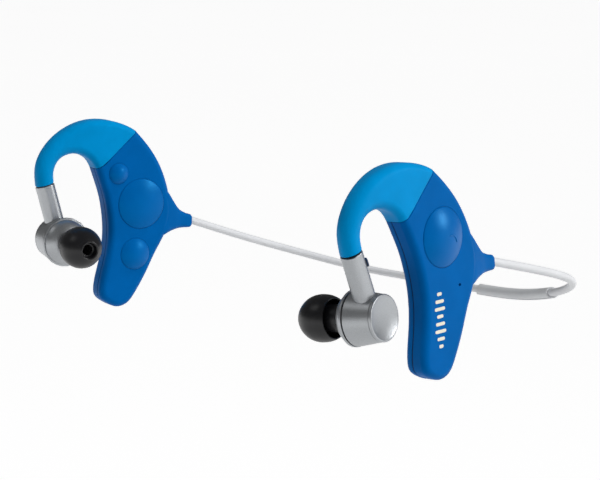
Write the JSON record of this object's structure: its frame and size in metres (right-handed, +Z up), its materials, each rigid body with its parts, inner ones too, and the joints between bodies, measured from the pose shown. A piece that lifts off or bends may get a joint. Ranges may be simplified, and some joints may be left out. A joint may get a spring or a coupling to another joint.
{
  "type": "neckband earphones",
  "caption": "Wireless sports earphones: ear-hook pods with driver capsules, silicone tips and push buttons, joined by a flexible cord behind the neck.",
  "frame": {"origin": "halfway between the two pods, at the wearer's ears", "axes": "+Z up, +X towards the wearer's left ear, -Y the way the wearer faces"},
  "size_m": [0.1628, 0.1246, 0.0603],
  "materials": {
    "housing_blue": "satin soft-touch",
    "hook_blue": "satin",
    "gasket_black": "matte",
    "spring_steel": "drawn wire",
    "silver_paint": "fine metallic",
    "seal_dark": "matte",
    "nozzle_mesh": "woven",
    "magnet_steel": "plated",
    "film": "thin film",
    "tip_silicone": "satin",
    "cord_white": "satin",
    "sleeve_grey": "satin",
    "board_green": "solder mask",
    "component_black": "moulded",
    "cell_foil": "foil",
    "button_blue": "satin soft-touch",
    "mark_blue": "satin"
  },
  "bodies": {
    "left_housing": {"left_outer_shell": "housing_blue", "left_inner_shell": "housing_blue", "left_shell_gasket": "gasket_black", "left_circuit_board": "board_green", "call_switch": "component_black", "microphone": "component_black", "bluetooth_module": "component_black", "charge_port": "magnet_steel", "left_hook": "hook_blue", "left_hook_core": "spring_steel", "left_cord_boot": "housing_blue", "neckband_cord": "cord_white", "cord_sleeve": "sleeve_grey"},
    "right_housing": {"right_outer_shell": "housing_blue", "right_inner_shell": "housing_blue", "right_shell_gasket": "gasket_black", "right_circuit_board": "board_green", "battery": "cell_foil", "button_switches": "component_black", "right_hook": "hook_blue", "right_hook_core": "spring_steel", "right_cord_boot": "housing_blue"},
    "left_driver": {"left_stem_ring": "seal_dark", "left_stem": "silver_paint", "left_driver_can": "silver_paint", "left_can_cap": "silver_paint", "left_bezel_gasket": "seal_dark", "left_front_shell": "silver_paint", "left_nozzle_mesh": "nozzle_mesh", "left_driver_magnet": "magnet_steel", "left_driver_diaphragm": "film", "left_side_mark": "mark_blue"},
    "right_driver": {"right_stem_ring": "seal_dark", "right_stem": "silver_paint", "right_driver_can": "silver_paint", "right_can_cap": "silver_paint", "right_bezel_gasket": "seal_dark", "right_front_shell": "silver_paint", "right_nozzle_mesh": "nozzle_mesh", "right_driver_magnet": "magnet_steel", "right_driver_diaphragm": "film"},
    "left_tip": {"left_ear_tip": "tip_silicone"},
    "right_tip": {"right_ear_tip": "tip_silicone"},
    "call_key": {"call_button": "button_blue"},
    "volume_up_key": {"volume_up_button": "button_blue"},
    "play_key": {"play_button": "button_blue"},
    "volume_down_key": {"volume_down_button": "button_blue"},
    "port_flap": {"port_cover": "housing_blue"}
  },
  "joints": [
    {"name": "band_flex", "type": "hinge", "parent": "left_housing", "child": "right_housing", "pos_m": [0, 0.0982, -0.0294], "axis": [0.045, -0.3261, -0.9443], "range_deg": [-10, 20], "stiffness_Nm_per_rad": 0.6, "deforming": ["neckband_cord", "cord_sleeve"]},
    {"name": "left_hook_flex", "type": "hinge", "parent": "left_housing", "child": "left_driver", "pos_m": [0.07527, -0.0114, 0.01815], "axis": [0.9937, 0.1001, 0.0501], "range_deg": [-8, 8], "stiffness_Nm_per_rad": 0.15, "deforming": ["left_hook", "left_hook_core"]},
    {"name": "left_tip_pull", "type": "slide", "parent": "left_driver", "child": "left_tip", "axis": [-0.9571, -0.2667, -0.1131], "range_m": [0, 0.006]},
    {"name": "right_hook_flex", "type": "hinge", "parent": "right_housing", "child": "right_driver", "pos_m": [-0.07558, -0.00958, 0.01973], "axis": [0.9928, -0.1173, -0.0255], "range_deg": [-8, 8], "stiffness_Nm_per_rad": 0.15, "deforming": ["right_hook", "right_hook_core"]},
    {"name": "right_tip_pull", "type": "slide", "parent": "right_driver", "child": "right_tip", "axis": [0.995, -0.092, -0.0377], "range_m": [0, 0.006]},
    {"name": "call_press", "type": "slide", "parent": "left_housing", "child": "call_key", "axis": [-0.9937, -0.1001, -0.0501], "range_m": [0, 0.0005], "stiffness_N_per_m": 600},
    {"name": "volume_up_press", "type": "slide", "parent": "right_housing", "child": "volume_up_key", "axis": [-0.9928, 0.1173, 0.0255], "range_m": [0, 0.0005], "stiffness_N_per_m": 600},
    {"name": "play_press", "type": "slide", "parent": "right_housing", "child": "play_key", "axis": [-0.9928, 0.1173, 0.0255], "range_m": [0, 0.0005], "stiffness_N_per_m": 600},
    {"name": "volume_down_press", "type": "slide", "parent": "right_housing", "child": "volume_down_key", "axis": [-0.9928, 0.1173, 0.0255], "range_m": [0, 0.0005], "stiffness_N_per_m": 600},
    {"name": "port_cover_hinge", "type": "hinge", "parent": "left_housing", "child": "port_flap", "pos_m": [0.0717, 0.00798, -0.02761], "axis": [0.1033, -0.9923, -0.0678], "range_deg": [0, 105]}
  ]
}
